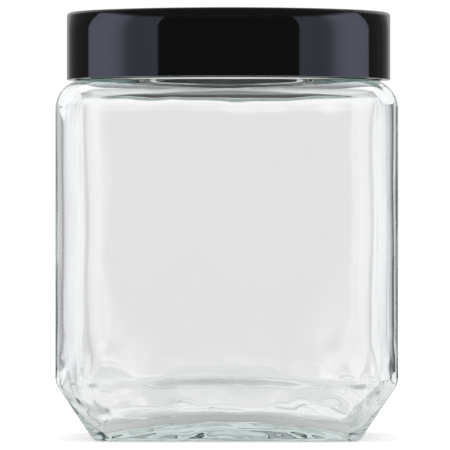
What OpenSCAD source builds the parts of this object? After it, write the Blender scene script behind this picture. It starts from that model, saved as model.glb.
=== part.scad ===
// Square glass storage jar with a chamfered foot, closed by a round screw lid.
// The origin is the centre of the foot on the table, +Z is up and -Y is the front.
// The lid stands closed. It loosens anticlockwise seen from above, on a four-start thread.

/* [Jar body] */
// Width across the flat sides of the glass
body_width = 104; // [96:1:130]
// Radius of the upright corners
corner_radius = 15; // [15:0.5:20]
// Height of the glass shoulder under the lid
shoulder_height = 109.8; // [90:0.1:160]
// Radius between the sides and the shoulder
shoulder_radius = 9; // [5:0.5:10]
// Thickness of the glass walls
wall = 3; // [2.4:0.1:3.2]
// Thickness of the sloped walls above the foot
slope_wall = 3.3; // [3:0.1:3.6]

/* [Foot] */
// Height at which the sides start to slope in
slope_height = 17.5; // [14:0.1:20]
// How far the slope comes in on each side at the table
slope_inset = 11.8; // [8:0.1:12]
// Radius of the foot's lower edge
foot_radius = 2.5; // [1:0.1:3]
// Height of the hollow under the foot
push_up = 6; // [3:0.1:7]
// Height of the floor inside, at its middle
floor_height = 12.5; // [10.5:0.1:14]

/* [Neck] */
// How far the neck stands in from the flat sides
neck_inset = 9.5; // [9.5:0.1:11]
// Thickness of the neck
neck_wall = 3.9; // [3:0.1:5]

/* [Thread] */
// Lift of the lid in one full turn
lead = 16; // [12:0.5:18]
// Number of thread starts
starts = 4; // [4:1:6]
// Length of each ridge around the neck, in degrees
ridge_angle = 96; // [60:1:100]
// How far a ridge stands out
ridge_depth = 1.3; // [0.8:0.1:1.4]

/* [Lid] */
// How far the lid's side stands in from the flat sides of the glass
lid_inset = 1.95; // [1.4:0.05:2.5]
// Height of the lid's outer shell
lid_height = 20.7; // [19.5:0.1:26]
// Gap between the shoulder and the lid's lower edge
lid_gap = 0.7; // [0.4:0.1:2]
// Thickness of the outer shell's side
shell_wall = 1.6; // [1:0.1:2]
// Thickness of the outer shell's top
shell_top = 1.8; // [1.5:0.1:2.5]
// Radius of the lid's top edge
lid_edge_radius = 1.1; // [0.5:0.1:1.4]
// Thickness of the inner cap's wall
insert_wall = 1.5; // [1:0.1:1.6]
// Number of upright ribs between the inner cap and the shell
rib_count = 24; // [12:1:36]
// Thickness of the seal
seal_thickness = 2.5; // [2.2:0.1:2.8]

/* [Hidden] */
$fn = 96;
half = body_width / 2;
corner_axis = half - corner_radius;
slope_angle = atan2(slope_height, slope_inset);
slope_blend = 6.5;
floor_blend = 5;
floor_edge = 5.5;
floor_sphere = 150;
plate_thickness = 1.6;
fit_gap = 0.1;
neck_radius = half - neck_inset;
neck_height = lid_gap + lid_height - shell_top - plate_thickness - seal_thickness - 3 * fit_gap;
neck_top = shoulder_height + neck_height;
mouth_radius = neck_radius - neck_wall;
shoulder_underside = shoulder_height - wall;
inner_shoulder_radius = shoulder_radius - wall - 0.4;
inner_slope_height = slope_height - wall * tan(slope_angle) + slope_wall / cos(slope_angle);
neck_root = 0.5;
rim_radius = 1.2;
thread_gap = 0.3;
pitch = lead / starts;
ridge_width = pitch / 2 - thread_gap;
ridge_middle = shoulder_height + 8.9;
insert_inner = neck_radius + ridge_depth + thread_gap;
insert_outer = insert_inner + insert_wall;
lid_radius = half - lid_inset;
lid_bottom = shoulder_height + lid_gap;
lid_top = lid_bottom + lid_height;
shell_inner = lid_radius - shell_wall;
insert_bottom = lid_bottom + 0.8;
flange_height = 1.2;
plate_bottom = neck_top + seal_thickness + 2 * fit_gap;
plate_top = plate_bottom + plate_thickness;
seal_outer = insert_inner - 0.4;
seal_inner = mouth_radius - 0.6;

// Half of an upright section, from the middle plane out to the flat side at x = w. The side
// starts to slope in below z = slope_z. Arcs round the shoulder, the bend and the lower edge.
module half_section(w, bottom, top, slope_z, top_radius, edge_radius, blend_radius)
{
    foot_x = w - (slope_z - bottom) / tan(slope_angle);
    edge_cut = edge_radius * tan(slope_angle / 2);
    blend_cut = blend_radius * tan((90 - slope_angle) / 2);
    polygon([
        [-1, bottom],
        [foot_x - edge_cut, bottom],
        [foot_x + edge_cut * cos(slope_angle), bottom + edge_cut * sin(slope_angle)],
        [w - blend_cut * cos(slope_angle), slope_z - blend_cut * sin(slope_angle)],
        [w, slope_z + blend_cut],
        [w, top - top_radius],
        [w - top_radius, top],
        [-1, top]
    ]);
    translate([foot_x - edge_cut, bottom + edge_radius])
        circle(r = edge_radius);
    translate([w - blend_radius, slope_z + blend_cut])
        circle(r = blend_radius);
    translate([w - top_radius, top - top_radius])
        circle(r = top_radius);
}

module outer_section()
{
    half_section(half, 0, shoulder_height, slope_height,
                 shoulder_radius, foot_radius, slope_blend);
}

module inner_section()
{
    half_section(half - wall, floor_edge, shoulder_underside, inner_slope_height,
                 inner_shoulder_radius, floor_blend, slope_blend - wall);
}

// A solid whose four sides carry the section and whose upright corners are round.
module square_block(radius)
{
    for (turn = [0, 90])
        rotate([90, 0, turn])
            linear_extrude(height = 2 * corner_axis, center = true)
            {
                children();
                mirror([1, 0])
                    children();
            }
    for (x = [-1, 1], y = [-1, 1])
        translate([x * corner_axis, y * corner_axis, 0])
            rotate_extrude()
                intersection()
                {
                    translate([-corner_axis, 0])
                        children();
                    square([radius, neck_top]);
                }
}

// Outside of the neck: a root fillet, a plain wall and a rounded rim.
module neck_outside()
{
    rotate_extrude()
    {
        difference()
        {
            translate([0, shoulder_height - 1])
                square([neck_radius + neck_root, 1 + neck_root]);
            translate([neck_radius + neck_root, shoulder_height + neck_root])
                circle(r = neck_root);
        }
        translate([0, shoulder_height - 1])
            square([neck_radius, neck_height + 1 - rim_radius]);
        square([neck_radius - rim_radius, neck_top]);
        translate([neck_radius - rim_radius, neck_top - rim_radius])
            circle(r = rim_radius);
    }
}

// Inside of the neck, flared where it meets the shoulder and at the rim.
module mouth()
{
    flare = 2;
    rotate_extrude()
    {
        translate([0, shoulder_underside - 1])
            square([mouth_radius, neck_height + wall + 4]);
        difference()
        {
            translate([0, shoulder_underside - 0.01])
                square([mouth_radius + flare, flare + 0.01]);
            translate([mouth_radius + flare, shoulder_underside + flare])
                circle(r = flare);
        }
        difference()
        {
            translate([0, neck_top - rim_radius])
                square([mouth_radius + rim_radius, rim_radius + 1]);
            translate([mouth_radius + rim_radius, neck_top - rim_radius])
                circle(r = rim_radius);
        }
    }
}

// One helical ridge with sloped flanks and run-out ends. root and crest are its radii,
// and the ridge's middle is at height z.
module ridge(root, crest, z)
{
    steps = 24;
    out = crest > root ? 1 : -1;
    depth = abs(crest - root);
    sink = 0.4;
    points = [for (i = [0:steps])
        let (
            t = i / steps,
            angle = (t - 0.5) * ridge_angle,
            fade = min(1, 0.15 + 8 * min(t, 1 - t)),
            reach = root + out * depth * fade,
            base = root - out * sink,
            middle = z + lead * angle / 360,
            wide = ridge_width / 2,
            narrow = wide * (1 - 0.5 * fade)
        )
        each [
            [base * cos(angle), base * sin(angle), middle - wide],
            [reach * cos(angle), reach * sin(angle), middle - narrow],
            [reach * cos(angle), reach * sin(angle), middle + narrow],
            [base * cos(angle), base * sin(angle), middle + wide]
        ]
    ];
    sides = [for (i = [0:steps - 1], k = [0:3])
        let (a = 4 * i + k, b = 4 * i + (k + 1) % 4)
        each (out > 0
              ? [[a, b, a + 4], [b, b + 4, a + 4]]
              : [[a, a + 4, b], [b, a + 4, b + 4]])
    ];
    last = 4 * steps;
    ends = out > 0
        ? [[3, 2, 1, 0], [last, last + 1, last + 2, last + 3]]
        : [[0, 1, 2, 3], [last + 3, last + 2, last + 1, last]];
    polyhedron(points = points, faces = concat(sides, ends), convexity = 4);
}

module jar_body()
{
    foot_hollow = half - slope_inset - foot_radius - 1.5;
    hollow_radius = (foot_hollow * foot_hollow + push_up * push_up) / (2 * push_up);
    color([0.86, 0.94, 0.91, 0.45])
    difference()
    {
        union()
        {
            square_block(corner_radius)
                outer_section();
            neck_outside();
            for (i = [0:starts - 1])
                rotate(i * 360 / starts)
                    ridge(neck_radius, neck_radius + ridge_depth, ridge_middle);
        }
        difference()
        {
            square_block(corner_radius - wall)
                inner_section();
            translate([0, 0, floor_height - floor_sphere])
                sphere(r = floor_sphere, $fn = 360);
        }
        mouth();
        translate([0, 0, push_up - hollow_radius])
            sphere(r = hollow_radius, $fn = 360);
    }
}

// Smooth outer cap, with a small bead inside its lower edge that holds the inner cap.
module lid_shell()
{
    bead = 0.4;
    color([0.05, 0.05, 0.05])
    rotate_extrude()
    difference()
    {
        union()
        {
            translate([0, lid_bottom])
                square([lid_radius, lid_height - lid_edge_radius]);
            translate([0, lid_bottom])
                square([lid_radius - lid_edge_radius, lid_height]);
            translate([lid_radius - lid_edge_radius, lid_top - lid_edge_radius])
                circle(r = lid_edge_radius);
        }
        difference()
        {
            translate([-1, lid_bottom - 1])
                square([shell_inner + 1, plate_top + fit_gap - lid_bottom + 1]);
            translate([shell_inner, insert_bottom - bead])
                circle(r = bead);
        }
    }
}

// Inner cap: a threaded wall with a flange at its foot, a plate over the seal,
// a ring that keeps the seal in place, and upright ribs against the shell.
module lid_insert()
{
    rib_width = 1.2;
    rib_end = shell_inner - 0.05;
    color([0.12, 0.12, 0.12])
    {
        rotate_extrude()
        {
            translate([insert_inner, insert_bottom])
                square([insert_wall, plate_top - insert_bottom]);
            translate([insert_inner, insert_bottom])
                square([rib_end - 0.1 - insert_inner, flange_height]);
            translate([0, plate_bottom])
                square([insert_outer, plate_top - plate_bottom]);
            translate([seal_inner - 1.8, neck_top])
                square([1.4, plate_bottom - neck_top + 0.5]);
        }
        for (i = [0:rib_count - 1])
            rotate(i * 360 / rib_count)
                intersection()
                {
                    translate([insert_outer - 0.5, -rib_width / 2, insert_bottom + 0.4])
                        cube([rib_end - insert_outer + 1, rib_width, plate_top - insert_bottom - 2]);
                    cylinder(r = rib_end, h = plate_top);
                }
        for (i = [0:starts - 1])
            rotate(i * 360 / starts)
                ridge(insert_inner, insert_inner - ridge_depth, ridge_middle - pitch / 2);
    }
}

// Soft flat ring on the rim of the glass.
module seal_ring()
{
    edge = 0.35;
    color([0.9, 0.9, 0.88])
    translate([0, 0, neck_top + fit_gap])
        rotate_extrude()
        {
            translate([seal_inner + edge, 0])
                square([seal_outer - seal_inner - 2 * edge, seal_thickness]);
            translate([seal_inner, edge])
                square([seal_outer - seal_inner, seal_thickness - 2 * edge]);
            for (x = [seal_inner + edge, seal_outer - edge], z = [edge, seal_thickness - edge])
                translate([x, z])
                    circle(r = edge);
        }
}

jar_body();
lid_shell();
lid_insert();
seal_ring();
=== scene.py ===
"""Square clear glass jar with a round black screw lid, on a pale floor."""

import math

import bpy
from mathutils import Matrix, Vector, noise


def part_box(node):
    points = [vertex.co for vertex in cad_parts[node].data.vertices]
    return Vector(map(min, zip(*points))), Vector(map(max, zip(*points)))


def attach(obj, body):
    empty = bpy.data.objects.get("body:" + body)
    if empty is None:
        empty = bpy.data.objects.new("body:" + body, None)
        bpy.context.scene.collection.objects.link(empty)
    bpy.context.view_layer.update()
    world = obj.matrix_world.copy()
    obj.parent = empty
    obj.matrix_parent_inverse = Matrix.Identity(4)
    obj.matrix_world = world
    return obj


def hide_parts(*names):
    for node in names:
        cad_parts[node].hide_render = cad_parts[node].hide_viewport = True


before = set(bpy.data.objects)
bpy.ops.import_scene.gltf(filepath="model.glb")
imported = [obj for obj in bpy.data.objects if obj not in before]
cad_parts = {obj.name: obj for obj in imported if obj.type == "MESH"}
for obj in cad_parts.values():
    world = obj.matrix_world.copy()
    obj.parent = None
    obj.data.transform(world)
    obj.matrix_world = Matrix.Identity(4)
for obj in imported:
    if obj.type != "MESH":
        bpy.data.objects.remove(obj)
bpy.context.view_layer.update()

MM = 0.001

# ---------------------------------------------------------------- sizes, in millimetres
# The glass has the main sizes of the CAD node that it replaces.
glass_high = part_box("jar_body")[1] / MM
lid_low, lid_high = (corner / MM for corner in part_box("lid_shell"))

HALF = glass_high.x
WALL = 3.0
CORNER_RADIUS = 15.0
CORNER_AXIS = HALF - CORNER_RADIUS

LID_GAP = 0.7
SHOULDER_HEIGHT = lid_low.z - LID_GAP
SHOULDER_RADIUS = 9.0
SHOULDER_UNDERSIDE = SHOULDER_HEIGHT - WALL
SHOULDER_INSIDE_RADIUS = 5.6

SLOPE_WALL = 3.3
SLOPE_HEIGHT = 17.5
SLOPE_INSET = 11.8
SLOPE_ANGLE = math.atan2(SLOPE_HEIGHT, SLOPE_INSET)
SLOPE_BLEND = 6.5

FOOT_RADIUS = 2.5
FOOT_RING = 1.5
PUSH_UP = 6.0
PUSH_UP_RADIUS = HALF - SLOPE_INSET - FOOT_RADIUS - FOOT_RING

FLOOR_MIDDLE = 12.5
FLOOR_SPHERE = 150.0
FLOOR_BLEND = 8.0

# The bend at the top of the slope is arched inside, by BEND_ARCH from a side's middle down to
# its corners. ARCH_LEVEL is the share of that which stands above the plain bend.
BEND_ARCH = 1.6
ARCH_LEVEL = 0.35

NECK_TOP = glass_high.z
NECK_INSET = 9.5
NECK_RADIUS = HALF - NECK_INSET
NECK_ROOT = 0.4
NECK_WALL = 3.9
MOUTH_RADIUS = NECK_RADIUS - NECK_WALL
MOUTH_FLARE = 2.0
RIM_RADIUS = 1.2

THREAD_LEAD = 16.0
THREAD_STARTS = 4
THREAD_DEPTH = 1.3
THREAD_WIDTH = 1.9
THREAD_FLANK = 0.45  # share of half the width that slopes
THREAD_ANGLE = 96.0  # degrees that one ridge runs round the neck
THREAD_RUN_OUT = 6.0  # degrees at each end over which it sinks into the neck
THREAD_MIDDLE = SHOULDER_HEIGHT + 8.9

# The lid's upper edge catches the light as if it leant in: by LEAN * h * h metres, h metres
# above LEAN_START.
LEAN_START = (lid_high.z - 5.9) * MM
LEAN = 52.0

# Points along a side and a corner of a ring, and rings along each stretch of the glass.
SIDE_STEPS = 44
CORNER_STEPS = 26
PUSH_UP_STEPS = 24
FOOT_STEPS = 3
BEND_STEPS = 8
SLOPE_STEPS = 6
INNER_SLOPE_STEPS = 8
WALL_STEPS = 24
SHOULDER_ARC_STEPS = 16
SHOULDER_TOP_STEPS = 5
ROOT_STEPS = 4
NECK_STEPS = 64
RIM_STEPS = 6
MOUTH_STEPS = 10
FLOOR_STEPS = 28


# ---------------------------------------------------------------- node helpers
def new_nodes(tree):
    tree.nodes.clear()
    return tree.nodes, tree.links


def math_node(tree, operation, a, b=None, c=None):
    """A Math node. Each value is a number or an output socket."""
    node = tree.nodes.new("ShaderNodeMath")
    node.operation = operation
    for socket, value in zip(node.inputs, (a, b, c)):
        if value is None:
            continue
        if isinstance(value, (int, float)):
            socket.default_value = value
        else:
            tree.links.new(value, socket)
    return node.outputs[0]


def ramp(tree, value, low, high, out_low=0.0, out_high=1.0):
    """A smooth step from out_low to out_high as value goes from low to high."""
    node = tree.nodes.new("ShaderNodeMapRange")
    node.interpolation_type = "SMOOTHSTEP"
    for name, number in (
        ("From Min", low),
        ("From Max", high),
        ("To Min", out_low),
        ("To Max", out_high),
    ):
        node.inputs[name].default_value = number
    tree.links.new(value, node.inputs["Value"])
    return node.outputs["Result"]


def mix_colour(tree, factor, a, b, blend="MIX"):
    """A colour mix. factor is a number or an output socket, a and b are colours or sockets."""
    node = tree.nodes.new("ShaderNodeMix")
    node.data_type = "RGBA"
    node.blend_type = blend
    if isinstance(factor, (int, float)):
        node.inputs["Factor"].default_value = factor
    else:
        tree.links.new(factor, node.inputs["Factor"])
    for name, value in (("A", a), ("B", b)):
        socket = [s for s in node.inputs if s.name == name and s.type == "RGBA"][0]
        if isinstance(value, tuple):
            socket.default_value = (*value, 1.0)
        else:
            tree.links.new(value, socket)
    return [s for s in node.outputs if s.type == "RGBA"][0]


def fade(tree, value, span, before, after):
    """The colour before, turning into the colour after as value crosses the span."""
    return mix_colour(tree, ramp(tree, value, *span), before, after)


def grey(brightness):
    return (brightness, brightness, brightness)


def noise_node(tree, vector, scale, detail, roughness):
    node = tree.nodes.new("ShaderNodeTexNoise")
    node.inputs["Scale"].default_value = scale
    node.inputs["Detail"].default_value = detail
    node.inputs["Roughness"].default_value = roughness
    tree.links.new(vector, node.inputs["Vector"])
    return node.outputs["Fac"]


def object_coordinates(tree):
    return tree.nodes.new("ShaderNodeTexCoord").outputs["Object"]


def separate(tree, vector):
    """The three output sockets x, y and z of a vector."""
    node = tree.nodes.new("ShaderNodeSeparateXYZ")
    tree.links.new(vector, node.inputs[0])
    return node.outputs


def bump_node(tree, height, strength, distance):
    node = tree.nodes.new("ShaderNodeBump")
    node.inputs["Strength"].default_value = strength
    node.inputs["Distance"].default_value = distance
    tree.links.new(height, node.inputs["Height"])
    return node.outputs["Normal"]


def new_material(name):
    material = bpy.data.materials.new(name)
    material.use_nodes = True
    tree = material.node_tree
    nodes, links = new_nodes(tree)
    output = nodes.new("ShaderNodeOutputMaterial")
    shader = nodes.new("ShaderNodeBsdfPrincipled")
    links.new(shader.outputs[0], output.inputs["Surface"])
    return material, tree, shader, output


# ---------------------------------------------------------------- materials
NOISE_SPAN = (0.3, 0.7)  # holds most of a noise's values


def glass_material():
    """Clear soda glass with a faint green body colour and slightly uneven polish."""
    material, tree, shader, output = new_material("clear_glass")
    shader.inputs["Base Color"].default_value = (1.0, 1.0, 1.0, 1.0)
    shader.inputs["IOR"].default_value = 1.51
    shader.inputs["Transmission Weight"].default_value = 1.0
    shader.inputs["Roughness"].default_value = 0.0
    waves = noise_node(tree, object_coordinates(tree), 45.0, 1.0, 0.4)
    tree.links.new(bump_node(tree, waves, 0.08, 0.001), shader.inputs["Normal"])
    absorption = tree.nodes.new("ShaderNodeVolumeAbsorption")
    absorption.inputs["Color"].default_value = (0.42, 0.60, 0.575, 1.0)
    absorption.inputs["Density"].default_value = 8.0
    tree.links.new(absorption.outputs[0], output.inputs["Volume"])
    return material


def gloss_lid_material():
    """Polished black plastic with a faint moulding ripple, leaning in towards its top edge."""
    material, tree, shader, _ = new_material("black_gloss_plastic")
    where = object_coordinates(tree)
    ripple = noise_node(tree, where, 60.0, 2.0, 0.5)
    shade = noise_node(tree, where, 25.0, 3.0, 0.6)
    colour = mix_colour(tree, shade, (0.0018, 0.0018, 0.0020), (0.0026, 0.0026, 0.0028))
    tree.links.new(colour, shader.inputs["Base Color"])
    shader.inputs["IOR"].default_value = 1.5
    tree.links.new(ramp(tree, shade, *NOISE_SPAN, 0.03, 0.05), shader.inputs["Roughness"])
    over = math_node(tree, "SUBTRACT", separate(tree, where)[2], LEAN_START)
    over = math_node(tree, "MAXIMUM", over, 0.0)
    drop = math_node(tree, "MULTIPLY", math_node(tree, "MULTIPLY", over, over), -LEAN)
    leaning = bump_node(tree, drop, 1.0, 1.0)
    ripples = bump_node(tree, ripple, 0.04, 0.0005)
    tree.links.new(leaning, ripples.node.inputs["Normal"])
    tree.links.new(ripples, shader.inputs["Normal"])
    return material


def grained_material(name, dark, light, roughness, shade_scale, grain_scale, grain):
    """A moulded material of uneven shade and roughness, with a fine grain."""
    material, tree, shader, _ = new_material(name)
    where = object_coordinates(tree)
    fine = noise_node(tree, where, grain_scale, 3.0, 0.6)
    shade = noise_node(tree, where, shade_scale, 3.0, 0.6)
    tree.links.new(mix_colour(tree, shade, dark, light), shader.inputs["Base Color"])
    tree.links.new(ramp(tree, shade, *NOISE_SPAN, *roughness), shader.inputs["Roughness"])
    tree.links.new(bump_node(tree, fine, grain, 0.0001), shader.inputs["Normal"])
    return material


def matte_lid_material():
    """Black moulded plastic for the inner cap, coloured dark grey as painted light, so it reads lit
    in the lid's shade.
    """
    # Painted light: lighter than black plastic, so the shaded cap shows grey.
    dark, light = (0.110, 0.111, 0.120), (0.140, 0.141, 0.150)
    return grained_material("black_matte_plastic", dark, light, (0.42, 0.55), 40.0, 900.0, 0.25)


def seal_material():
    """Soft off-white seal, matt and slightly uneven."""
    dark, light = (0.72, 0.72, 0.69), (0.82, 0.82, 0.79)
    return grained_material("soft_seal", dark, light, (0.5, 0.65), 60.0, 700.0, 0.2)


# ---------------------------------------------------------------- rings and sections
def square_directions():
    """One entry per point of a ring: the axis that it stands off from, and which way."""
    entries = []
    for quarter in range(4):
        turn = quarter * math.pi / 2
        axis_x = Vector((math.cos(turn), math.sin(turn)))
        axis_y = Vector((-math.sin(turn), math.cos(turn)))
        for step in range(SIDE_STEPS):
            along = -1 + 2 * step / SIDE_STEPS
            entries.append(((axis_x + axis_y * along) * CORNER_AXIS, axis_x))
        for step in range(CORNER_STEPS):
            angle = math.pi / 2 * step / CORNER_STEPS
            outward = axis_x * math.cos(angle) + axis_y * math.sin(angle)
            entries.append(((axis_x + axis_y) * CORNER_AXIS, outward))
    return entries


RING = square_directions()


def square_ring(reach, height):
    """A rounded square whose flat sides stand at CORNER_AXIS + reach."""
    return [Vector((*(axis + outward * reach), height)) for axis, outward in RING]


ANGLES = [math.atan2(p.y, p.x) for p in square_ring(SHOULDER_RADIUS - WALL, 0.0)]


def round_ring(radius, height):
    """A circle, a point for each of a square ring's. radius is a number or a rule of the angle."""
    ring = []
    for angle in ANGLES:
        r = radius(angle) if callable(radius) else radius
        ring.append(Vector((r * math.cos(angle), r * math.sin(angle), height)))
    return ring


def between(first, second, steps):
    """Rings part of the way from first to second, without either of them."""
    return [
        [a.lerp(b, i / (steps + 1)) for a, b in zip(first, second)]
        for i in range(1, steps + 1)
    ]


def arc(centre, radius, start, end, steps):
    """Points (x, z) of an arc, angles in degrees from +x towards +z."""
    points = []
    for i in range(steps + 1):
        angle = math.radians(start + (end - start) * i / steps)
        x = centre[0] + radius * math.cos(angle)
        points.append((x, centre[1] + radius * math.sin(angle)))
    return points


def straight(a, b, steps):
    """Points between two (x, z) points, without either of them."""
    return [
        (a[0] + (b[0] - a[0]) * i / (steps + 1), a[1] + (b[1] - a[1]) * i / (steps + 1))
        for i in range(1, steps + 1)
    ]


def section(half, bottom, top, bend_z, radii, slope_steps):
    """Points (x, z) of a wall's upright section, from its lower edge up to its shoulder.

    bend_z is where the slope would meet the upright wall, and radii are those of the lower
    edge, of the bend and of the shoulder.
    """
    edge_radius, bend_radius, shoulder_radius = radii
    slope = math.degrees(SLOPE_ANGLE)
    foot_x = half - (bend_z - bottom) / math.tan(SLOPE_ANGLE)
    edge_x = foot_x - edge_radius * math.tan(SLOPE_ANGLE / 2)
    bend_rise = bend_radius * math.tan((math.pi / 2 - SLOPE_ANGLE) / 2)
    shoulder_centre = (half - shoulder_radius, top - shoulder_radius)
    lower = arc((edge_x, bottom + edge_radius), edge_radius, -90, slope - 90, BEND_STEPS)
    bend = arc((half - bend_radius, bend_z + bend_rise), bend_radius, slope - 90, 0, BEND_STEPS)
    shoulder = arc(shoulder_centre, shoulder_radius, 0, 90, SHOULDER_ARC_STEPS)
    return (
        lower
        + straight(lower[-1], bend[0], slope_steps)
        + bend
        + straight(bend[-1], shoulder[0], WALL_STEPS)
        + shoulder
    )


# ---------------------------------------------------------------- outside of the glass
def smooth_step(value, low, high):
    """A smooth step from 0 to 1 as value goes from low to high."""
    t = max(0.0, min(1.0, (value - low) / (high - low)))
    return t * t * (3 - 2 * t)


def thread_rise(angle, height):
    """How far the neck's ridges stand out at one place on the neck."""
    rise = 0.0
    for start in range(THREAD_STARTS):
        turn = math.degrees(angle) - start * 360 / THREAD_STARTS
        turn = (turn + 180) % 360 - 180
        past = abs(turn) - THREAD_ANGLE / 2 + THREAD_RUN_OUT
        run_out = 1 - max(0.0, min(1.0, past / THREAD_RUN_OUT))
        middle = THREAD_MIDDLE + THREAD_LEAD * turn / 360
        across = abs(height - middle) / (THREAD_WIDTH / 2)
        rise = max(rise, THREAD_DEPTH * smooth_step(across, 1, 1 - THREAD_FLANK) * run_out)
    return rise


def sphere_radius(edge_radius, rise):
    """Radius of the sphere that rises so far over a circle of edge_radius."""
    return (edge_radius**2 + rise**2) / (2 * rise)


def outer_rings():
    """Rings from the middle of the hollow under the foot, up the outside, to the rim."""
    rings = []
    sphere = sphere_radius(PUSH_UP_RADIUS, PUSH_UP)
    for i in range(1, PUSH_UP_STEPS + 1):
        r = PUSH_UP_RADIUS * i / PUSH_UP_STEPS
        rings.append(round_ring(r, PUSH_UP - sphere + math.sqrt(sphere**2 - r**2)))
    radii = (FOOT_RADIUS, SLOPE_BLEND, SHOULDER_RADIUS)
    profile = section(HALF, 0.0, SHOULDER_HEIGHT, SLOPE_HEIGHT, radii, SLOPE_STEPS)
    wall = [square_ring(x - CORNER_AXIS, z) for x, z in profile]
    rings += between(rings[-1], wall[0], FOOT_STEPS) + wall
    root_radius, root_top = NECK_RADIUS + NECK_ROOT, SHOULDER_HEIGHT + NECK_ROOT
    rings += between(rings[-1], round_ring(root_radius, SHOULDER_HEIGHT), SHOULDER_TOP_STEPS)
    root = arc((root_radius, root_top), NECK_ROOT, 270, 180, ROOT_STEPS)
    rings += [round_ring(x, z) for x, z in root]
    neck_high = NECK_TOP - RIM_RADIUS
    for i in range(1, NECK_STEPS):
        z = root_top + (neck_high - root_top) * i / NECK_STEPS
        rings.append(round_ring(lambda angle, z=z: NECK_RADIUS + thread_rise(angle, z), z))
    rim = arc((NECK_RADIUS - RIM_RADIUS, neck_high), RIM_RADIUS, 0, 90, RIM_STEPS)
    rings += [round_ring(x, z) for x, z in rim]
    return rings


# ---------------------------------------------------------------- inside of the glass
LEAST_REACH = 0.15  # keeps a corner's points apart where its radius runs out
FLOOR_TUCK = 1.5  # the floor's edge takes its height from so far inwards
TRIES = 8


def floor_height(r):
    """Height of the crowned floor at one distance from the middle."""
    return FLOOR_MIDDLE - FLOOR_SPHERE + math.sqrt(FLOOR_SPHERE**2 - r**2)


def floor_edge(axis, outward, bend_z):
    """Height at which the inner slope meets the floor, closed in on step by step."""
    bottom = PUSH_UP
    for _ in range(TRIES):
        foot_x = HALF - WALL - (bend_z - bottom) / math.tan(SLOPE_ANGLE)
        r = (axis + outward * max(foot_x - CORNER_AXIS, LEAST_REACH)).length
        bottom = floor_height(r - FLOOR_TUCK)
    return bottom


def inner_wall_rings():
    """Rings from the inner shoulder down to the floor. The floor is lower in the corners."""
    plain_bend_z = (
        SLOPE_HEIGHT - WALL * math.tan(SLOPE_ANGLE) + SLOPE_WALL / math.cos(SLOPE_ANGLE)
    )
    radii = (FLOOR_BLEND, SLOPE_BLEND - WALL, SHOULDER_INSIDE_RADIUS)
    columns = []
    for axis, outward in RING:
        along = min(abs(axis.x), abs(axis.y)) / CORNER_AXIS
        bend_z = plain_bend_z + BEND_ARCH * (ARCH_LEVEL - along**2)
        bottom = floor_edge(axis, outward, bend_z)
        profile = section(
            HALF - WALL, bottom, SHOULDER_UNDERSIDE, bend_z, radii, INNER_SLOPE_STEPS
        )
        columns.append(
            [
                Vector((*(axis + outward * max(x - CORNER_AXIS, LEAST_REACH)), z))
                for x, z in reversed(profile)
            ]
        )
    return [list(ring) for ring in zip(*columns)]


def inner_rings():
    """Rings from the rim down the inside to the middle of the floor."""
    rim = arc((MOUTH_RADIUS + RIM_RADIUS, NECK_TOP - RIM_RADIUS), RIM_RADIUS, 90, 180, RIM_STEPS)
    flare_top = SHOULDER_UNDERSIDE + MOUTH_FLARE
    mouth = straight((MOUTH_RADIUS, rim[-1][1]), (MOUTH_RADIUS, flare_top), MOUTH_STEPS)
    flare = arc((MOUTH_RADIUS + MOUTH_FLARE, flare_top), MOUTH_FLARE, 180, 270, RIM_STEPS)
    rings = [round_ring(x, z) for x, z in rim + mouth + flare]
    wall = inner_wall_rings()
    rings += between(rings[-1], wall[0], SHOULDER_TOP_STEPS) + wall
    for i in range(1, FLOOR_STEPS):
        share = 1 - i / FLOOR_STEPS
        ring = []
        for p in wall[-1]:
            r = Vector((p.x, p.y)).length * share
            ring.append(Vector((p.x * share, p.y * share, floor_height(r))))
        rings.append(ring)
    return rings


# Waves pressed into the inside of the glass. Each has a size, a seed for its pattern, and how
# deep it is in each of five zones, in millimetres: all over, the corners, the foot, the
# shoulder and the foot's corners.
WAVES = (
    (22.0, 3.1, (0.064, 0.16, 0.0, 0.0, 0.0)),
    (15.0, 5.2, (0.0, 0.0, 0.55, 0.0, 0.0)),
    (7.0, 7.7, (0.0, 0.0, 0.25, 0.22, 0.0)),
    (4.2, 9.4, (0.0, 0.0, 0.07, 0.0, 0.42)),
    (2.3, 2.7, (0.0, 0.0, 0.0, 0.0, 0.16)),
)


# Each zone fades in from the first number to the second: a corner's with the lesser of x and y,
# the others' with z.
CORNER_ZONE = (24, 40)
FOOT_ZONE = (26, 16)
SHOULDER_ZONE = (96, 103)
FOOT_CORNER_ZONE = (36, 20)
EVEN_FROM = SHOULDER_UNDERSIDE - 0.5


def zones(p):
    """How far a point is in each of the five zones, from 0 to 1."""
    corner = smooth_step(min(abs(p.x), abs(p.y)), *CORNER_ZONE)
    foot = smooth_step(p.z, *FOOT_ZONE)
    shoulder = smooth_step(p.z, *SHOULDER_ZONE)
    return 1.0, corner, foot, shoulder, corner * smooth_step(p.z, *FOOT_CORNER_ZONE)


def press_uneven(mesh, first_inside):
    """Makes the inside of the glass uneven below EVEN_FROM, most of all around the foot."""
    mesh.update()
    moves = []
    for vertex in mesh.vertices:
        p = vertex.co / MM
        if vertex.index < first_inside or p.z > EVEN_FROM:
            continue
        here = zones(p)
        amount = 0.0
        for size, seed, depths in WAVES:
            depth = sum(share * zone for share, zone in zip(depths, here))
            amount += depth * noise.noise(p / size + Vector((seed, seed, seed)))
        moves.append((vertex, vertex.normal * amount * MM))
    for vertex, move in moves:
        vertex.co += move


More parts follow.
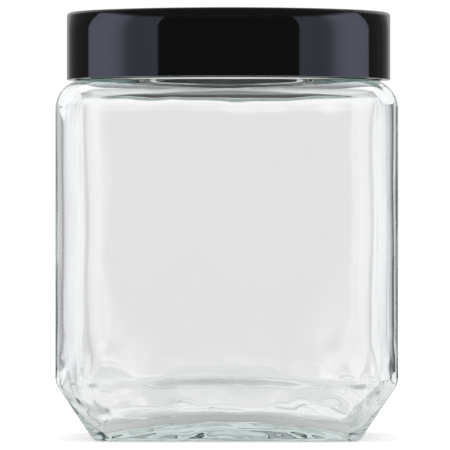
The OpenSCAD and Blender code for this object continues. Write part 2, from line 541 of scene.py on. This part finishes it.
def mesh_from_rings(name, rings, first_centre, last_centre):
    """A closed mesh from rings of equal count, capped at both ends by a point."""
    count = len(rings[0])
    points = [p * MM for ring in rings for p in ring]
    points += [first_centre * MM, last_centre * MM]
    faces = []
    for i in range(len(rings) - 1):
        for k in range(count):
            a, b = i * count + k, i * count + (k + 1) % count
            faces.append((a, b, b + count, a + count))
    start, end = len(points) - 2, len(points) - 1
    last = (len(rings) - 1) * count
    for k in range(count):
        faces.append((start, (k + 1) % count, k))
        faces.append((end, last + k, last + (k + 1) % count))
    mesh = bpy.data.meshes.new(name)
    mesh.from_pydata(points, [], faces)
    mesh.validate()
    mesh.polygons.foreach_set("use_smooth", [True] * len(mesh.polygons))
    piece = bpy.data.objects.new(name, mesh)
    bpy.context.scene.collection.objects.link(piece)
    return piece


def make_glass():
    """The glass as one closed mesh, in place of the CAD node."""
    outside = outer_rings()
    rings = outside + inner_rings()
    under, over = Vector((0, 0, PUSH_UP)), Vector((0, 0, FLOOR_MIDDLE))
    piece = mesh_from_rings("glass_jar", rings, under, over)
    press_uneven(piece.data, len(outside) * len(RING))
    piece.data.materials.append(glass_material())
    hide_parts("jar_body")
    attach(piece, "jar")


# ---------------------------------------------------------------- camera, in metres
CAMERA_DISTANCE = 1.8
CAMERA_AZIMUTH = math.radians(0.9)
VIEW_WIDTH = 0.1393
AIM_LEFT = 0.00111
CAMERA_HEIGHT = 0.0651
AIM_HEIGHT = 0.0656


def make_camera():
    """A long-lens camera in front of the jar, almost level."""
    data = bpy.data.cameras.new("camera")
    data.sensor_width = 36.0
    data.lens = data.sensor_width * CAMERA_DISTANCE / VIEW_WIDTH
    data.clip_start = 0.05
    data.clip_end = 60.0
    camera = bpy.data.objects.new("camera", data)
    bpy.context.scene.collection.objects.link(camera)
    back = Vector((math.sin(CAMERA_AZIMUTH), -math.cos(CAMERA_AZIMUTH), 0))
    right = Vector((math.cos(CAMERA_AZIMUTH), math.sin(CAMERA_AZIMUTH), 0))
    middle = -right * AIM_LEFT
    target = middle + Vector((0, 0, AIM_HEIGHT))
    camera.location = back * CAMERA_DISTANCE + middle + Vector((0, 0, CAMERA_HEIGHT))
    camera.rotation_euler = (target - camera.location).to_track_quat("-Z", "Y").to_euler()
    bpy.context.scene.camera = camera


# ---------------------------------------------------------------- light
# Brightness of the studio by the angle off the backdrop's middle, in degrees, to the left (-)
# and to the right (+). What is mirrored is the same on both sides: the pale backdrop, a dark
# gap, a light box, and the dark side behind the camera.
MIRRORED_ON_A_SIDE = (
    (19, 0.50), (22, 0.30), (30, 0.16), (40, 0.09), (61, 0.08),
    (62, 0.85), (70, 1.15), (76, 1.30), (84, 1.50), (92, 1.50),
    (97, 1.30), (104, 0.80), (110, 0.74), (128, 0.82),
    (129, 0.06), (180, 0.06),
)
SEEN_IN_REFLECTION = (
    *((-angle, value) for angle, value in reversed(MIRRORED_ON_A_SIDE)),
    *MIRRORED_ON_A_SIDE,
)
SEEN_THROUGH_GLASS = (
    (-180, 0.15), (-134, 0.30), (-128, 0.93), (-62, 0.93), (-55, 0.70), (-46, 0.30),
    (-42, 0.32), (-35, 0.58), (-25, 0.55), (-20, 0.72), (-12, 0.82), (-9, 0.90), (-5, 0.96),
    (-1.9, 1.00), (-1.75, 0.89), (1.75, 0.89), (1.9, 1.00), (5, 0.96), (9, 0.92), (12, 0.82),
    (20, 0.70), (25, 0.40), (28, 0.05), (35, 0.05), (38, 0.25), (42, 0.36),
    (50, 0.55), (62, 0.93), (128, 0.93), (134, 0.30), (180, 0.15),
)

# The light boxes are bluish, between these angles to each side.
BOX_TINT = (0.91, 0.98, 1.26)
BOX_START = (60.0, 62.0)
BOX_END = (129.0, 131.0)

# Spans of a direction's z, from 0 at the horizon to 1 straight up, with what comes above them.
MIRRORED_TOP, MIRRORED_CEILING = (0.50, 0.62), 0.12
PATTERN_TOP, WALL_THROUGH_GLASS = (0.05, 0.07), 0.98
WALL_TOP, CEILING_THROUGH_GLASS = (0.6, 0.9), 0.75
OVERHEAD_START, OVERHEAD_LIGHT = (0.76, 0.86), (5.0, 5.2, 5.25)

# Brightness to diffuse rays, and to the camera.
SOFT_LIGHT = 1.05
BACKDROP = 1.02


def level(tree, turn, stops):
    """A brightness that goes straight from one stop to the next."""
    node = tree.nodes.new("ShaderNodeValToRGB")
    share = math_node(tree, "MULTIPLY_ADD", turn, 1 / 360, 0.5)
    tree.links.new(share, node.inputs["Fac"])
    elements = node.color_ramp.elements
    for index, (angle, value) in enumerate(stops):
        element = elements[index] if index < 2 else elements.new(1.0)
        element.position = angle / 360 + 0.5
        # A ramp's colours stop at 1, so they hold half the brightness.
        element.color = (*grey(value / 2), 1.0)
    return math_node(tree, "MULTIPLY", node.outputs["Color"], 2.0)


def studio(tree, place):
    """Colour of the studio at a direction or place, as mirrored and as seen through glass."""
    x, y, _ = separate(tree, place)
    turn = math_node(tree, "ARCTAN2", x, y)
    turn = math_node(tree, "ADD", turn, CAMERA_AZIMUTH)
    turn = math_node(tree, "MULTIPLY", turn, 180 / math.pi)
    mirrored = level(tree, turn, SEEN_IN_REFLECTION)
    through = level(tree, turn, SEEN_THROUGH_GLASS)
    aside = math_node(tree, "ABSOLUTE", turn)
    started = ramp(tree, aside, *BOX_START)
    not_ended = ramp(tree, aside, *BOX_END, 1.0, 0.0)
    blue = math_node(tree, "MULTIPLY", started, not_ended)
    tint = mix_colour(tree, blue, grey(1.0), BOX_TINT)
    return mix_colour(tree, 1.0, mirrored, tint, "MULTIPLY"), through


def by_ray(tree, mirrored, mirrored_by_glass, through, soft, plain):
    """Picks the colour for the kind of ray that arrives."""
    path = tree.nodes.new("ShaderNodeLightPath")
    colour = mix_colour(tree, path.outputs["Is Singular Ray"], mirrored, mirrored_by_glass)
    colour = mix_colour(tree, path.outputs["Is Transmission Ray"], colour, through)
    bounced = math_node(tree, "GREATER_THAN", path.outputs["Diffuse Depth"], 0.5)
    colour = mix_colour(tree, bounced, colour, soft)
    return mix_colour(tree, path.outputs["Is Camera Ray"], colour, plain)


def make_world():
    """A studio with a pale backdrop behind the jar and a light box on each side.

    The lid mirrors the boxes on a dark ground. The glass mirrors whichever is lighter, that
    or what is seen through it, and a light overhead.
    """
    world = bpy.data.worlds.new("studio")
    bpy.context.scene.world = world
    world.use_nodes = True
    # Its brightness depends on the kind of ray, so it can't be sampled as one light.
    world.cycles.sampling_method = "NONE"
    tree = world.node_tree
    nodes, links = new_nodes(tree)
    output = nodes.new("ShaderNodeOutputWorld")
    background = nodes.new("ShaderNodeBackground")
    links.new(background.outputs[0], output.inputs["Surface"])
    direction = nodes.new("ShaderNodeTexCoord").outputs["Generated"]
    mirrored, through = studio(tree, direction)
    height = separate(tree, direction)[2]
    mirrored = fade(tree, height, MIRRORED_TOP, mirrored, grey(MIRRORED_CEILING))
    through = fade(tree, height, PATTERN_TOP, through, grey(WALL_THROUGH_GLASS))
    by_glass = mix_colour(tree, 1.0, mirrored, through, "LIGHTEN")
    by_glass = fade(tree, height, OVERHEAD_START, by_glass, OVERHEAD_LIGHT)
    through = fade(tree, height, WALL_TOP, through, grey(CEILING_THROUGH_GLASS))
    colour = by_ray(tree, mirrored, by_glass, through, grey(SOFT_LIGHT), grey(BACKDROP))
    links.new(colour, background.inputs["Color"])


# ---------------------------------------------------------------- floor, in metres
# Mirrored or seen through glass, the floor glows with painted light rather than being lit. It has
# the first colour below, a painted shadow, around the jar's middle, the second beyond JAR_EDGE, and
# a painted copy of the studio's pattern beyond PATTERN_START.
FLOOR_HALF = 7.0
PAINTED_SHADOW_UNDER_JAR, PAINTED_LIGHT_AROUND_JAR = (0.46, 0.47, 0.47), (0.82, 0.83, 0.83)
JAR_EDGE = (0.03, 0.08)
PATTERN_START = (0.25, 0.60)
FLOOR_COLOUR = 0.83
FLOOR_GLOW = 0.42


def floor_material():
    """White to the camera, with the jar's faint shadow. In glass and mirrors it glows with painted
    light instead: the studio's pattern, and a painted shadow under the jar.
    """
    material = bpy.data.materials.new("pale_floor")
    material.use_nodes = True
    tree = material.node_tree
    nodes, links = new_nodes(tree)
    output = nodes.new("ShaderNodeOutputMaterial")
    place = nodes.new("ShaderNodeNewGeometry").outputs["Position"]
    mirrored, through = studio(tree, place)
    reach = nodes.new("ShaderNodeVectorMath")
    reach.operation = "LENGTH"
    links.new(place, reach.inputs[0])
    distance = reach.outputs["Value"]
    # Painted shadow under the jar, painted light around it, then the painted studio pattern.
    painted_near_jar = fade(tree, distance, JAR_EDGE, PAINTED_SHADOW_UNDER_JAR, PAINTED_LIGHT_AROUND_JAR)
    mirrored = fade(tree, distance, PATTERN_START, painted_near_jar, mirrored)
    through = fade(tree, distance, PATTERN_START, painted_near_jar, through)
    # Glass and mirrors see this painted glow, not the lit floor. The camera and diffuse rays see
    # the lit white floor.
    path = nodes.new("ShaderNodeLightPath")
    painted_glow = nodes.new("ShaderNodeEmission")
    pattern = mix_colour(tree, path.outputs["Is Transmission Ray"], mirrored, through)
    links.new(pattern, painted_glow.inputs["Color"])
    diffuse = nodes.new("ShaderNodeBsdfDiffuse")
    diffuse.inputs["Color"].default_value = (*grey(FLOOR_COLOUR), 1.0)
    lift = nodes.new("ShaderNodeEmission")
    lift.inputs["Strength"].default_value = FLOOR_GLOW
    white = nodes.new("ShaderNodeAddShader")
    links.new(diffuse.outputs[0], white.inputs[0])
    links.new(lift.outputs[0], white.inputs[1])
    seen, bounced = path.outputs["Is Camera Ray"], path.outputs["Is Diffuse Ray"]
    choice = nodes.new("ShaderNodeMixShader")
    links.new(math_node(tree, "MAXIMUM", seen, bounced), choice.inputs["Fac"])
    links.new(painted_glow.outputs[0], choice.inputs[1])
    links.new(white.outputs[0], choice.inputs[2])
    links.new(choice.outputs[0], output.inputs["Surface"])
    return material


def make_floor():
    """A wide pale floor, lit evenly enough to read as white."""
    mesh = bpy.data.meshes.new("floor")
    corners = [(x * FLOOR_HALF, y * FLOOR_HALF, 0) for x, y in ((-1, -1), (1, -1), (1, 1), (-1, 1))]
    mesh.from_pydata(corners, [], [(0, 1, 2, 3)])
    floor = bpy.data.objects.new("floor", mesh)
    bpy.context.scene.collection.objects.link(floor)
    mesh.materials.append(floor_material())


# ---------------------------------------------------------------- the scene
def paint(node, material):
    """Gives a CAD node its material."""
    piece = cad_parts[node]
    piece.data.materials.clear()
    piece.data.materials.append(material)


make_camera()
make_world()
make_floor()
make_glass()
paint("lid_shell", gloss_lid_material())
paint("lid_insert", matte_lid_material())
paint("seal_ring", seal_material())

# Light passes through many faces of clear glass before it reaches the studio.
BOUNCES = 96
bpy.context.scene.view_settings.view_transform = "Standard"
bpy.context.scene.cycles.max_bounces = BOUNCES
bpy.context.scene.cycles.transmission_bounces = BOUNCES
bpy.context.scene.cycles.glossy_bounces = BOUNCES
